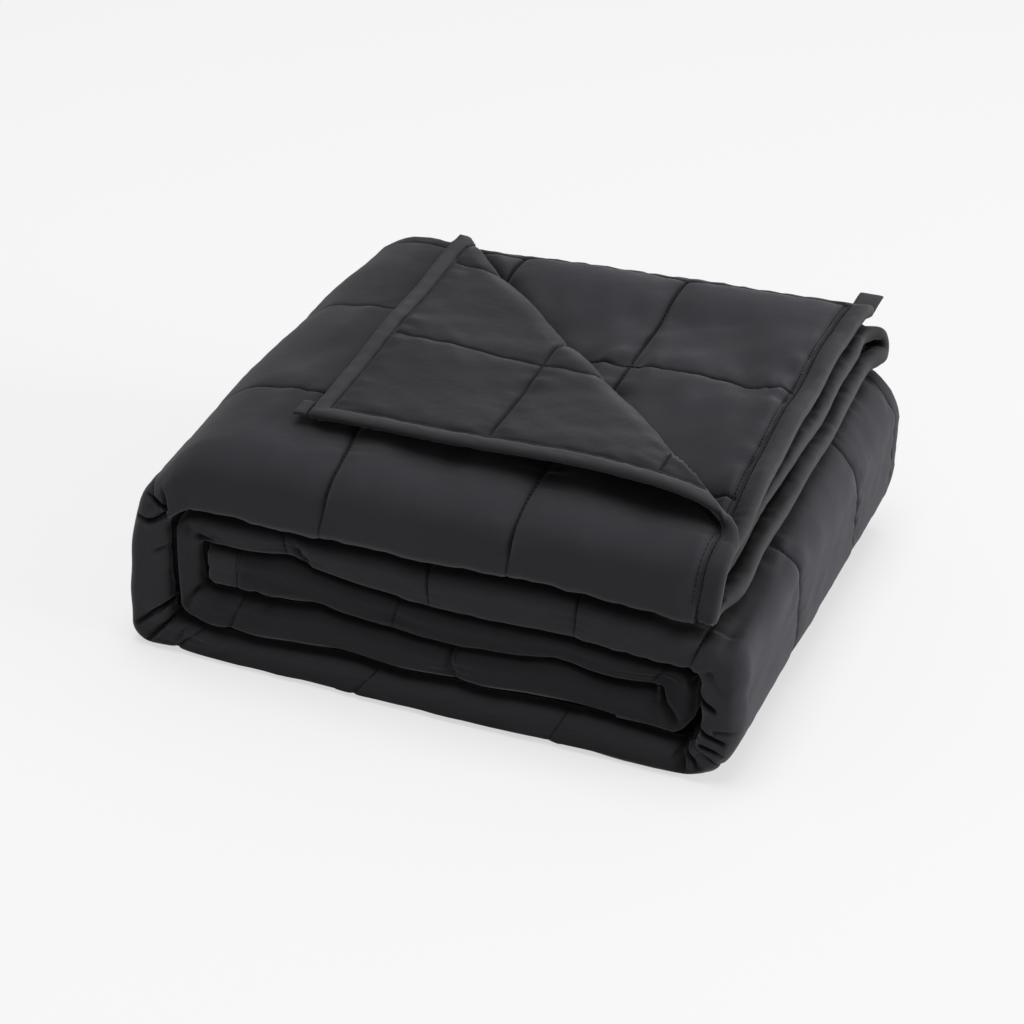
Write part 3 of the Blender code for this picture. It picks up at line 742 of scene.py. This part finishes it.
def build_quilt():
    """The cloth: both faces as squares of cells, and the narrow band that joins them at the rim."""
    us = lattice(LENGTH, PITCH_U, CELLS_LONG)
    vs = lattice(WIDTH, PITCH_V, CELLS_WIDE)
    nu = (len(us) - 1) // FINEST
    nv = (len(vs) - 1) // FINEST
    index = {}
    keys = []
    faces = []
    face_side = []

    def vertex(i, j, side):
        key = (i, j, side)
        if key not in index:
            index[key] = len(keys)
            keys.append(key)
        return index[key]

    cells = [(a, b) for a in range(nu) for b in range(nv)]
    for side in (1, -1):
        along = np.ones((nu + 2, nv + 2), int)
        across = np.ones((nu + 2, nv + 2), int)
        for a, b in cells:
            along[a + 1, b + 1], across[a + 1, b + 1] = cell_level(
                side, us[a * FINEST], us[(a + 1) * FINEST], vs[b * FINEST], vs[(b + 1) * FINEST])
        # the rim is cut alike on both sides
        across[1, :] = across[nu, :] = RIM_PARTS
        along[:, 1] = along[:, nv] = RIM_PARTS
        for a, b in cells:
            n, m = along[a + 1, b + 1], across[a + 1, b + 1]
            cuts = (
                FINEST // max(m, across[a, b + 1]), FINEST // max(m, across[a + 2, b + 1]),
                FINEST // max(n, along[a + 1, b]), FINEST // max(n, along[a + 1, b + 2]))
            for ring in cell_rings(a * FINEST, b * FINEST, n, m, cuts):
                face = [vertex(i, j, side) for i, j in ring]
                faces.append(face if side > 0 else face[::-1])
                face_side.append(side)
    # the narrow band that joins both sides at the rim
    last_i, last_j = len(us) - 1, len(vs) - 1
    step = FINEST // RIM_PARTS
    rim = [(i, 0) for i in range(0, last_i, step)]
    rim += [(last_i, j) for j in range(0, last_j, step)]
    rim += [(i, last_j) for i in range(last_i, 0, -step)]
    rim += [(0, j) for j in range(last_j, 0, -step)]
    for (i, j), (k, l) in zip(rim, rim[1:] + rim[:1]):
        faces.append([index[i, j, 1], index[i, j, -1], index[k, l, -1], index[k, l, 1]])
        face_side.append(1)
    flat = np.array([(us[i], vs[j], side) for i, j, side in keys])
    u, v, side = flat.T
    points = place(u, v, half_thickness(u, v, side) * side)
    return mesh_object("blanket_cloth", points, faces, flat[:, :2], face_side)


def new_object(name, data):
    """An object of the scene that holds the data."""
    piece = bpy.data.objects.new(name, data)
    bpy.context.scene.collection.objects.link(piece)
    return piece


def mesh_object(name, points, faces, flat, sides=None):
    """A mesh object with smooth faces and the flat cloth's coordinates as its UV map."""
    data = bpy.data.meshes.new(name)
    data.from_pydata([tuple(p) for p in points], [], faces)
    data.update()
    layer = data.uv_layers.new(name="cloth")
    loops = np.array([l for face in faces for l in face])
    uv = flat[loops] * MM
    if sides is not None:
        per_loop = np.repeat(np.array(sides), [len(face) for face in faces])
        uv[:, 1] += np.where(per_loop < 0, 16 * PITCH_V * MM, 0.0)
    layer.uv.foreach_set("vector", uv.astype(np.float32).ravel())
    data.polygons.foreach_set("use_smooth", [True] * len(data.polygons))
    mesh = bmesh.new()
    mesh.from_mesh(data)
    if mesh.calc_volume(signed=True) < 0:
        bmesh.ops.reverse_faces(mesh, faces=mesh.faces)
    mesh.to_mesh(data)
    mesh.free()
    return new_object(name, data)


# ---- binding
# distance from the cloth's edge and height over its middle, from the lip round to the edge
TAPE_OUT = (
    (15.2, 0.9), (14.9, 1.9), (14.2, 2.3), (13.5, 2.1), (13.0, 1.5), (12.5, 2.0), (11.2, 2.6),
    (8.0, 2.85), (4.8, 2.95), (2.5, 2.75), (0.9, 2.1), (0.1, 0.95),
)
TAPE_IN = ((15.0, 0.45), (13.0, 0.5), (8.0, 1.35), (3.5, 1.35), (1.25, 0.7))
# length of the tape's faces, and centre, reach and length of shorter ones in the folds across it
TAPE_STEP = 4.6
TAPE_FOLDS = ((sum(FRONT_FOLD) / 2, 42.0, 2.2), (WIDTH / 2, 10.0, 1.0), (INNER_SEAM, 10.0, 1.0))
# distance from the edge and height of the band's stitches, and of the second row beside the band
BAND_STITCH = (13.0, 1.75)
BORDER_ROW = (16.8, 2.3)


def side_stations(size, close):
    """Places along one edge, nearer each other in the folds."""
    places = [0.0]
    while places[-1] < size:
        here = places[-1]
        gaps = [fine for centre, reach, fine in close if abs(here - centre) < reach]
        places.append(here + min([TAPE_STEP, *gaps]))
    places[-1] = size
    return np.array(places)


def tube(n, rows, closed):
    """Faces of a tube of rows with n points each; open ends are capped."""
    faces = []
    for row in range(rows if closed else rows - 1):
        here, there = row * n, (row + 1) % rows * n
        for k in range(n):
            k2 = (k + 1) % n
            faces.append([here + k, here + k2, there + k2, there + k])
    if not closed:
        faces += [list(range(n))[::-1], [(rows - 1) * n + k for k in range(n)]]
    return faces


def build_binding():
    """The tape: one closed tube of flat section round the cloth's edge."""
    ring = [(d, h) for d, h in TAPE_OUT] + [(d, -h) for d, h in reversed(TAPE_OUT)]
    ring += [(d, -h) for d, h in TAPE_IN] + [(d, h) for d, h in reversed(TAPE_IN)]
    d = np.array([p[0] for p in ring])
    h = np.array([p[1] for p in ring])

    def inset(t, size):
        return d + t * (size - 2 * d) / size

    rows = [(inset(t, LENGTH), d) for t in side_stations(LENGTH, ((CREASE_U, 26.0, 1.5),))[:-1]]
    rows += [(LENGTH - d, inset(t, WIDTH)) for t in side_stations(WIDTH, TAPE_FOLDS)[:-1]]
    rows += [(inset(t, LENGTH), WIDTH - d) for t in side_stations(LENGTH, ())[:0:-1]]
    near_folds = ((CREASE_V, 26.0, 1.5), *TAPE_FOLDS)
    rows += [(d, inset(t, WIDTH)) for t in side_stations(WIDTH, near_folds)[:0:-1]]
    u = np.concatenate([row[0] for row in rows])
    v = np.concatenate([row[1] for row in rows])
    w = np.tile(h, len(rows)) / PLY * (1 + 0.07 * GATHER_F(1.2 * u, 1.2 * v))
    points = place(u, v, w)
    return mesh_object("edge_tape", points, tube(len(ring), len(rows), True), np.stack([u, v], axis=-1))


# ---- thread
# share of a stitch's length, thickness there, how deep it dips there in thread radii
STITCH_RINGS = ((0.0, 0.35, -0.9), (0.16, 1.0, 0.35), (0.84, 1.0, 0.35), (1.0, 0.35, -0.9))
STITCH_SIDES = 5


def stitch_run(start, end, pitch):
    """Starts and ends of the stitches of one straight row in the flat cloth."""
    start, end = np.array(start, dtype=float), np.array(end, dtype=float)
    size = np.linalg.norm(end - start)
    count = max(1, int(size / pitch))
    t = np.arange(count)[:, None] * pitch / size
    return start + (end - start) * t, (end - start) / size


def build_thread(name, rows, pitch, length, radius):
    """Stitches as small bent rods; rows hold start, end, side, height in mm and what stays."""
    stitches = []
    for start, end, side, height, keep in rows:
        firsts, way = stitch_run(start, end, pitch)
        firsts = firsts[keep(*(firsts + way * length / 2).T)]
        stitches.append([(*first, *way, side, height) for first in firsts])
    stitches = np.concatenate(stitches)
    first, way, side, height = stitches[:, :2], stitches[:, 2:4], stitches[:, 4], stitches[:, 5]
    cross = np.stack([-way[:, 1], way[:, 0]], axis=-1)
    angles = 2 * math.pi * np.arange(STITCH_SIDES) / STITCH_SIDES
    flat, lift = [], []
    for share, thick, dip in STITCH_RINGS:
        for angle in angles:
            flat.append(first + way * share * length + cross * (radius * thick * math.cos(angle)))
            lift.append(side * (height + radius * (dip + thick * math.sin(angle))) / PLY)
    flat = np.stack(flat, axis=1).reshape(-1, 2)
    lift = np.stack(lift, axis=1).reshape(-1)
    points = place(flat[:, 0], flat[:, 1], lift)
    rings = len(STITCH_RINGS)
    rod = tube(STITCH_SIDES, rings, False)
    faces = []
    for number, way_up in enumerate(side):
        for face in rod:
            moved = [number * STITCH_SIDES * rings + k for k in face]
            faces.append(moved if way_up < 0 else moved[::-1])
    return mesh_object(name, points, faces, flat)


def always(u, v):
    """Everywhere."""
    return u > -1.0


def top_seen(u, v):
    """Where the top ply is not turned back."""
    return past_crease(u, v) < -3.0


def flap_seen(u, v):
    """Where the top ply is turned back."""
    return past_crease(u, v) > 3.0


def second_seen(u, v):
    """Where the second ply is not covered."""
    return past_crease(u, WIDTH - v) > -45.0


def seam_rows():
    """The rows of quilting stitches that can be seen."""
    depth = SEAM_HALF * PLY

    def along(v, start, end, side, seen):
        return (start, v), (end, v), side, depth, seen

    def across(number, start, end, side, seen):
        u = HEM + PITCH_U * number
        return (u, start), (u, end), side, depth, seen

    seams = [HEM + PITCH_V * number for number in (1, 2)]
    rows = [along(v, BAND, 1062.0, 1, top_seen) for v in seams]
    rows += [across(number, BAND, 356.0, 1, top_seen) for number in range(1, 9)]
    rows += [across(number, 322.0, 356.0, 1, always) for number in range(9, 16)]
    rows += [along(HEM + PITCH_V * 6, BAND, LENGTH - BAND, 1, always)]
    rows += [along(WIDTH - v, BAND, 345.0, -1, second_seen) for v in seams]
    rows += [across(number, 1140.0, WIDTH - BAND, -1, second_seen) for number in (1, 2)]
    rows += [along(v, BAND, CREASE_U, -1, flap_seen) for v in seams]
    rows += [across(number, BAND, CREASE_V, -1, flap_seen) for number in (1, 2)]
    return rows


def band_rows():
    """The rows of stitches along the band, with the second row beside it at the free end."""
    d, h = BAND_STITCH
    beside, beside_h = BORDER_ROW
    return [
        ((d, d), (1060.0, d), 1, h, top_seen),
        ((d, d), (CREASE_U + 30.0, d), -1, h, flap_seen),
        ((d, d), (d, CREASE_V + 20.0), -1, h, flap_seen),
        ((d, BORDER_FROM[0]), (d, 745.0), 1, h, top_seen),
        ((d, BORDER_FROM[1]), (d, WIDTH - d), -1, h, always),
        ((d, WIDTH - d), (345.0, WIDTH - d), -1, h, always),
        ((LENGTH - d, 300.0), (LENGTH - d, 380.0), 1, h, always),
        ((beside, BORDER_FROM[0]), (beside, 745.0), 1, beside_h, top_seen),
        ((beside, BORDER_FROM[1]), (beside, WIDTH - d), -1, beside_h, always),
    ]


# ---- loops
def build_loop(name, spot, outward, reach):
    """A short tape loop that stands out from a corner, folded back on itself."""
    out = np.array(outward, dtype=float)
    out /= np.linalg.norm(out)
    side = np.array([out[1], -out[0]])
    width, tape, slot = 17.0, 0.9, 0.5
    bend = tape + slot / 2
    run = np.linspace(0.7, reach - bend, 9)

    def bow(radius, way, count):
        turns = np.linspace(0, math.pi, count)[1:-1]
        return [(reach - bend + radius * math.sin(a), way * radius * math.cos(a)) for a in turns]

    outline = [(r, bend) for r in run] + bow(bend, 1, 9) + [(r, -bend) for r in run[::-1]]
    outline += [(r, tape - bend) for r in run] + bow(bend - tape, -1, 7)
    outline += [(r, bend - tape) for r in run[::-1]]
    across = np.linspace(-width / 2, width / 2, 13)
    points, flat = [], []
    for c in across:
        rounding = 1 - 0.35 * (abs(c) / (width / 2)) ** 8
        for r, h in outline:
            sag = 0.6 * math.sin(r / reach * 3.0)
            point = np.array(spot) + np.array([*(out * r + side * c), h * rounding + sag])
            points.append((point - SHIFT) * MM)
            flat.append((r, c))
    return mesh_object(name, points, tube(len(outline), len(across), False), np.array(flat))


def build_loops():
    """The loop at the second ply's back corner and the one on the corner that is turned back."""
    middle = np.array([8.5])
    corner = (place(middle, np.array([WIDTH]), np.zeros(1))[0] / MM) + SHIFT
    flap = (place(middle, np.zeros(1), np.zeros(1))[0] / MM) + SHIFT
    away = (-FLAP_ALONG_U[1], FLAP_ALONG_U[0])
    return [
        build_loop("corner_loop", corner, (0.0, 1.0), 27.0),
        build_loop("flap_loop", flap, away, 10.0),
    ]


# ---- materials
# flat cloth in metres, level of the painted shade there: along the length on the lowest and inner runs,
# and across it on the turned corner, with the underside after the face
INNER_RUN_SHADE = (2.1, ((0.40, 1.0), (0.56, 0.76), (0.80, 0.76), (0.90, 1.0), (1.44, 1.0), (1.51, 0.44)))
TURNED_CORNER_SHADE = (4.0, ((1.60, 1.0), (1.90, 0.50), (2.40, 0.50), (2.60, 1.0)))


def add_node(tree, kind, inputs, **settings):
    """A shader node with its settings, and with each input set or linked."""
    node = tree.nodes.new("ShaderNode" + kind)
    for name, value in settings.items():
        setattr(node, name, value)
    set_inputs(tree, node, inputs)
    return node


def set_inputs(tree, node, inputs):
    """Link the inputs that come from a socket and set the others."""
    for name, value in inputs.items():
        if isinstance(value, bpy.types.NodeSocket):
            tree.links.new(value, node.inputs[name])
        else:
            node.inputs[name].default_value = value


def combine(tree, operation, one, two):
    """The result of a sum on two values."""
    return add_node(tree, "Math", {0: one, 1: two}, operation=operation).outputs[0]


def new_material(name):
    """A material with its node tree and its shader."""
    material = bpy.data.materials.new(name)
    material.use_nodes = True
    tree = material.node_tree
    return material, tree, tree.nodes["Principled BSDF"]


def colour_steps(tree, source, stops):
    """A colour ramp; stops are places and colours in rising order."""
    steps = add_node(tree, "ValToRGB", {"Fac": source})
    elements = steps.color_ramp.elements
    for number, (where, colour) in enumerate(stops):
        stop = elements[number] if number < 2 else elements.new(where)
        stop.position = where
        stop.color = (*colour, 1.0)
    return steps.outputs["Color"]


def smooth_range(tree, source, limits):
    """A smooth step between two values of the source: from low, high, to low, high."""
    names = ("From Min", "From Max", "To Min", "To Max")
    inputs = {"Value": source, **dict(zip(names, limits))}
    return add_node(tree, "MapRange", inputs, interpolation_type="SMOOTHSTEP").outputs["Result"]


def seam_shade(tree, flat):
    """Painted shade along the seams: 1 on the squares, less at the stitch lines, as shade in the grooves
    would be.
    """
    gaps = []
    for axis, pitch in (("X", PITCH_U), ("Y", PITCH_V)):
        shift = combine(tree, "SUBTRACT", flat.outputs[axis], HEM * MM)
        gaps.append(combine(tree, "PINGPONG", shift, pitch * MM / 2))
    return smooth_range(tree, combine(tree, "MINIMUM", *gaps), (0.0, 0.0016, 0.18, 1.0))


def painted_shade_level(tree, flat):
    """Painted shade: less than 1 on the turned corner, on the lowest run and on the inner runs, darkened
    as shade would.
    """
    levels = []
    for axis, (reach, stops) in (("Y", TURNED_CORNER_SHADE), ("X", INNER_RUN_SHADE)):
        stops = [(where / reach, (level, level, level)) for where, level in stops]
        levels.append(colour_steps(tree, combine(tree, "DIVIDE", flat.outputs[axis], reach), stops))
    return combine(tree, "MULTIPLY", *levels)


def cloth_colour(tree, coords, cloud, colour, dark, quilted):
    """Cloudy, fibrous cloth, with painted shade where folds and seams close over it."""
    fibre = add_node(tree, "TexNoise", {"Vector": coords, "Scale": 900.0, "Detail": 3.0})
    both = add_node(tree, "Mix", {0: 0.45, 2: cloud, 3: fibre.outputs["Fac"]}, data_type="FLOAT")
    nap = colour_steps(tree, both.outputs[0], ((0.32, dark), (0.68, colour)))
    # painted shade: ambient occlusion darkens the base colour in folds, seams and the gaps between
    # layers, where shade falls
    folds = add_node(tree, "AmbientOcclusion", {"Distance": 0.030}, samples=6)
    shade = smooth_range(tree, folds.outputs["AO"], (0.46, 0.95, 0.01, 1.0))
    if quilted:
        flat = add_node(tree, "SeparateXYZ", {"Vector": coords})
        # painted shade along the seam lines
        shade = combine(tree, "MULTIPLY", shade, seam_shade(tree, flat))
        # painted shade on the turned corner and on the lowest and inner runs of the roll
        shade = combine(tree, "MULTIPLY", shade, painted_shade_level(tree, flat))
    inputs = {0: 1.0, 6: nap, 7: shade}
    return add_node(tree, "Mix", inputs, data_type="RGBA", blend_type="MULTIPLY").outputs[2]


def cloth_normal(tree, coords, weave_scale, wrinkle):
    """Warp and weft, and soft wrinkles over them."""
    scaled = add_node(tree, "Mapping", {"Vector": coords, "Scale": (weave_scale,) * 3})
    threads = []
    for way in ("X", "Y"):
        inputs = {"Vector": scaled.outputs["Vector"], "Scale": 1.0, "Distortion": 0.6}
        wave = add_node(tree, "TexWave", inputs, wave_type="BANDS", bands_direction=way)
        threads.append(wave.outputs["Fac"])
    weave = combine(tree, "MULTIPLY", *threads)
    fine = add_node(tree, "Bump", {"Strength": 0.35, "Distance": 0.00012, "Height": weave})
    inputs = {"Vector": coords, "Scale": 75.0, "Detail": 5.0, "Roughness": 0.55}
    soft = add_node(tree, "TexNoise", inputs)
    inputs = {"Strength": wrinkle, "Distance": 0.0016, "Height": soft.outputs["Fac"],
              "Normal": fine.outputs["Normal"]}
    return add_node(tree, "Bump", inputs).outputs["Normal"]


def cloth_material(name, colour, dark, weave_scale, wrinkle, quilted=False):
    """Brushed cloth or tape: its nap, its weave, a faint sheen and painted shade in its folds."""
    material, tree, shader = new_material(name)
    coords = add_node(tree, "UVMap", {}, uv_map="cloth").outputs["UV"]
    inputs = {"Vector": coords, "Scale": 24.0, "Detail": 5.0, "Roughness": 0.6}
    cloud = add_node(tree, "TexNoise", inputs).outputs["Fac"]
    rough = add_node(tree, "MapRange", {"Value": cloud, "To Min": 0.78, "To Max": 0.95})
    set_inputs(tree, shader, {
        "Base Color": cloth_colour(tree, coords, cloud, colour, dark, quilted),
        "Normal": cloth_normal(tree, coords, weave_scale, wrinkle),
        "Roughness": rough.outputs["Result"],
        "Specular IOR Level": 0.22,
        "Sheen Weight": 0.27,
        "Sheen Roughness": 0.45,
        "Sheen Tint": (0.75, 0.75, 0.8, 1.0),
    })
    return material


def quilt_material():
    """Brushed microfibre, quilted in squares."""
    return cloth_material(
        "quilt_cloth_fine", (0.0400, 0.0388, 0.0455), (0.0310, 0.0300, 0.0358), 700.0, 0.34, True)


def tape_material():
    """Plain woven tape."""
    return cloth_material("binding_tape_fine", (0.040, 0.040, 0.045), (0.030, 0.030, 0.034), 900.0, 0.20)


def loop_material():
    """Narrow woven tape."""
    return cloth_material("loop_tape_fine", (0.034, 0.034, 0.038), (0.026, 0.026, 0.029), 900.0, 0.05)


def thread_material():
    """Dark sewing thread."""
    return cloth_material("sewing_thread", (0.013, 0.013, 0.015), (0.008, 0.008, 0.009), 2400.0, 0.02)


def floor_material():
    """Pale, nearly even and lit a little by itself, as a studio sweep is."""
    material, tree, shader = new_material("pale_floor")
    noise = add_node(tree, "TexNoise", {"Scale": 3.0})
    stops = ((0.0, (0.38, 0.38, 0.38)), (1.0, (0.39, 0.39, 0.39)))
    set_inputs(tree, shader, {
        "Base Color": colour_steps(tree, noise.outputs["Fac"], stops),
        "Roughness": 0.9,
        "Specular IOR Level": 0.1,
        "Emission Color": (1.0, 1.0, 1.0, 1.0),
        "Emission Strength": 0.60,
    })
    return material


# ---- stage
def build_floor():
    """A round floor that the block doesn't light up from below."""
    mesh = bmesh.new()
    bmesh.ops.create_circle(mesh, cap_ends=True, radius=14.0, segments=96)
    data = bpy.data.meshes.new("floor")
    mesh.to_mesh(data)
    mesh.free()
    data.materials.append(floor_material())
    floor = new_object("floor", data)
    floor.visible_diffuse = False


def area_light(name, spot, target, size, power):
    """A round lamp turned to a target."""
    data = bpy.data.lights.new(name, "AREA")
    data.shape = "DISK"
    data.size = size
    data.energy = power
    lamp = new_object(name, data)
    lamp.location = spot
    lamp.rotation_euler = (Vector(target) - Vector(spot)).to_track_quat("-Z", "Y").to_euler()


def build_light():
    """An even white room with a large lamp above and one on the right."""
    world = bpy.data.worlds.new("studio")
    world.use_nodes = True
    room = {"Color": (1.0, 1.0, 1.0, 1.0), "Strength": 0.33}
    set_inputs(world.node_tree, world.node_tree.nodes["Background"], room)
    bpy.context.scene.world = world
    area_light("top_light", (0.2, -0.3, 5.4), (0.0, 0.0, 0.0), 3.4, 140.0)
    area_light("right_light", (4.6, 0.2, 0.75), (0.0, 0.0, 0.1), 2.4, 160.0)


def build_camera():
    """The camera fitted to the seams in the photograph."""
    data = bpy.data.cameras.new("camera")
    data.lens = 77.616
    data.sensor_width = 36.0
    data.clip_end = 60.0
    camera = new_object("camera", data)
    camera.location = (0.49463, -1.24361, 0.86431)
    camera.rotation_euler = (math.radians(58.7353), 0.0, math.radians(22.4358))
    bpy.context.scene.camera = camera


bpy.context.scene.view_settings.view_transform = "Standard"
build_camera()
cloth = build_quilt()
tape = build_binding()
loops = build_loops()
quilting = build_thread("quilting_thread", seam_rows(), 4.0, 3.4, 0.5)
topstitch = build_thread("band_thread", band_rows(), 3.4, 2.6, 0.36)
cloth.data.materials.append(quilt_material())
tape.data.materials.append(tape_material())
loop_cloth = loop_material()
for loop in loops:
    loop.data.materials.append(loop_cloth)
thread = thread_material()
for stitches in (quilting, topstitch):
    stitches.data.materials.append(thread)

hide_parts("quilt")
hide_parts("edge_binding")
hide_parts("tie_loop_corner")
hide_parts("tie_loop_flap")
for piece in (cloth, tape, *loops, quilting, topstitch):
    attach(piece, "root")

build_floor()
build_light()
